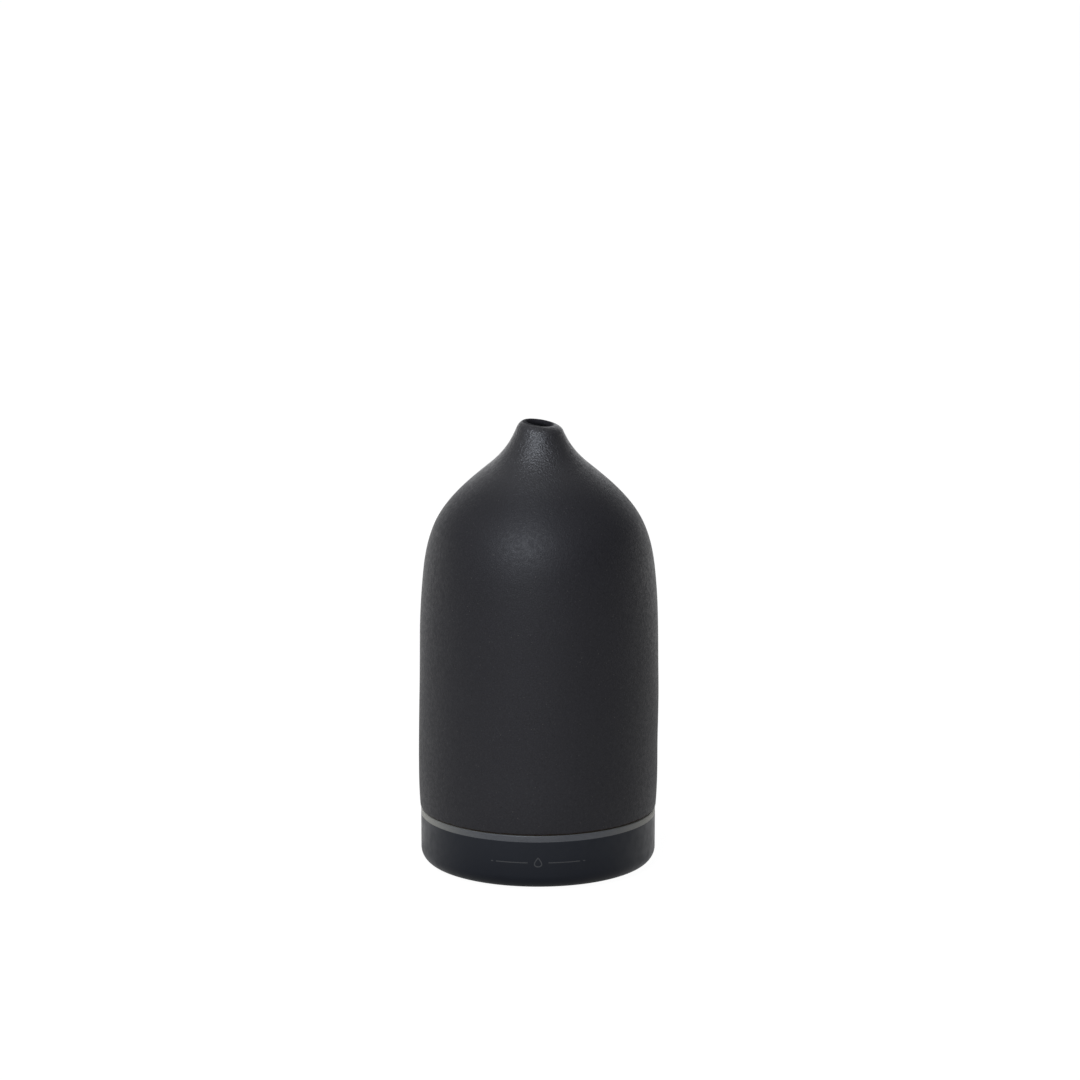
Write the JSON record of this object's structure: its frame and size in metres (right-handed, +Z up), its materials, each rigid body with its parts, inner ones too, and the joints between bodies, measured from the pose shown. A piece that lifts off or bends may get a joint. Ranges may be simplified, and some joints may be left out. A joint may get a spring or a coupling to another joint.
{
  "type": "essential oil diffuser",
  "caption": "Ultrasonic aroma diffuser: a matte bottle-shaped ceramic cover with a slanted mouth lifts off a lidded water tank on a low round base with a light ring, fan and push buttons.",
  "frame": {"origin": "centre of the plane the feet stand on", "axes": "+Z up the middle of the base, -Y to the front, +Y to the power socket at the rear, +X to the right seen from the front"},
  "size_m": [0.0933, 0.0934, 0.177],
  "materials": {
    "ceramic_cover": "matte black stoneware with a faint grain",
    "tank_lid": "smooth moulded black",
    "water_tank": "smooth moulded dark grey",
    "light_ring": "frosted translucent grey",
    "base_shell": "fine moulded texture, near black",
    "rubber_feet": "matt",
    "case_screws": "zinc plated",
    "mist_button": "satin",
    "light_button": "satin",
    "mist_switch": "moulded black",
    "light_switch": "moulded black",
    "mist_switch_plunger": "natural nylon",
    "light_switch_plunger": "natural nylon",
    "main_board": "green solder mask",
    "board_screws": "zinc plated",
    "dc_jack": "moulded black",
    "dc_jack_contacts": "nickel plated",
    "driver_inductor": "ferrite bobbin wound with enamelled copper",
    "drive_transistor": "moulded black with a bare metal tab",
    "heat_sink": "extruded, plain",
    "transistor_screw": "zinc plated",
    "smoothing_capacitor": "dark blue sleeve on an aluminium can",
    "controller_chip": "moulded black with tinned legs",
    "chip_parts": "tan ceramic",
    "board_connectors": "natural nylon",
    "led_board": "white solder mask",
    "ring_leds": "clear resin over yellow phosphor",
    "led_leads": "red sleeve",
    "transducer_disc": "nickel brass faced piezo ceramic",
    "transducer_seal": "translucent grey silicone",
    "transducer_clamp": "moulded black",
    "clamp_screws": "stainless",
    "transducer_leads": "blue sleeve",
    "fan_frame": "moulded black",
    "fan_bearing": "sintered bronze",
    "fan_stator": "stacked laminations with copper coils",
    "fan_impeller": "moulded black",
    "fan_magnet": "bonded ferrite",
    "fan_shaft": "ground steel",
    "fan_screws": "zinc plated",
    "fan_leads": "red sleeve",
    "air_duct": "moulded black",
    "duct_seal": "closed-cell foam"
  },
  "bodies": {
    "base": {"water_tank": "water_tank", "light_ring": "light_ring", "base_shell": "base_shell", "rubber_feet": "rubber_feet", "case_screws": "case_screws", "mist_switch": "mist_switch", "light_switch": "light_switch", "main_board": "main_board", "board_screws": "board_screws", "dc_jack": "dc_jack", "dc_jack_contacts": "dc_jack_contacts", "driver_inductor": "driver_inductor", "drive_transistor": "drive_transistor", "heat_sink": "heat_sink", "transistor_screw": "transistor_screw", "smoothing_capacitor": "smoothing_capacitor", "controller_chip": "controller_chip", "chip_parts": "chip_parts", "board_connectors": "board_connectors", "led_board": "led_board", "ring_leds": "ring_leds", "led_leads": "led_leads", "transducer_disc": "transducer_disc", "transducer_seal": "transducer_seal", "transducer_clamp": "transducer_clamp", "clamp_screws": "clamp_screws", "transducer_leads": "transducer_leads", "fan_frame": "fan_frame", "fan_bearing": "fan_bearing", "fan_stator": "fan_stator", "fan_screws": "fan_screws", "fan_leads": "fan_leads", "air_duct": "air_duct", "duct_seal": "duct_seal"},
    "lid": {"tank_lid": "tank_lid"},
    "cover": {"ceramic_cover": "ceramic_cover"},
    "mist_button": {"mist_button": "mist_button", "mist_switch_plunger": "mist_switch_plunger"},
    "light_button": {"light_button": "light_button", "light_switch_plunger": "light_switch_plunger"},
    "fan_rotor": {"fan_impeller": "fan_impeller", "fan_magnet": "fan_magnet", "fan_shaft": "fan_shaft"}
  },
  "joints": [
    {"name": "cover_lift", "type": "slide", "parent": "base", "child": "cover", "axis": [0, 0, 1], "range_m": [0, 0.145]},
    {"name": "lid_lift", "type": "slide", "parent": "base", "child": "lid", "axis": [0, 0, 1], "range_m": [0, 0.045]},
    {"name": "mist_press", "type": "slide", "parent": "base", "child": "mist_button", "axis": [-0.5, -0.866, 0], "range_m": [0, 0.0004], "stiffness_N_per_m": 1500},
    {"name": "light_press", "type": "slide", "parent": "base", "child": "light_button", "axis": [0.5, -0.866, 0], "range_m": [0, 0.0004], "stiffness_N_per_m": 1500},
    {"name": "fan_spin", "type": "hinge", "parent": "base", "child": "fan_rotor", "pos_m": [0, -0.014, 0.01], "axis": [0, 0, 1], "continuous": true}
  ]
}
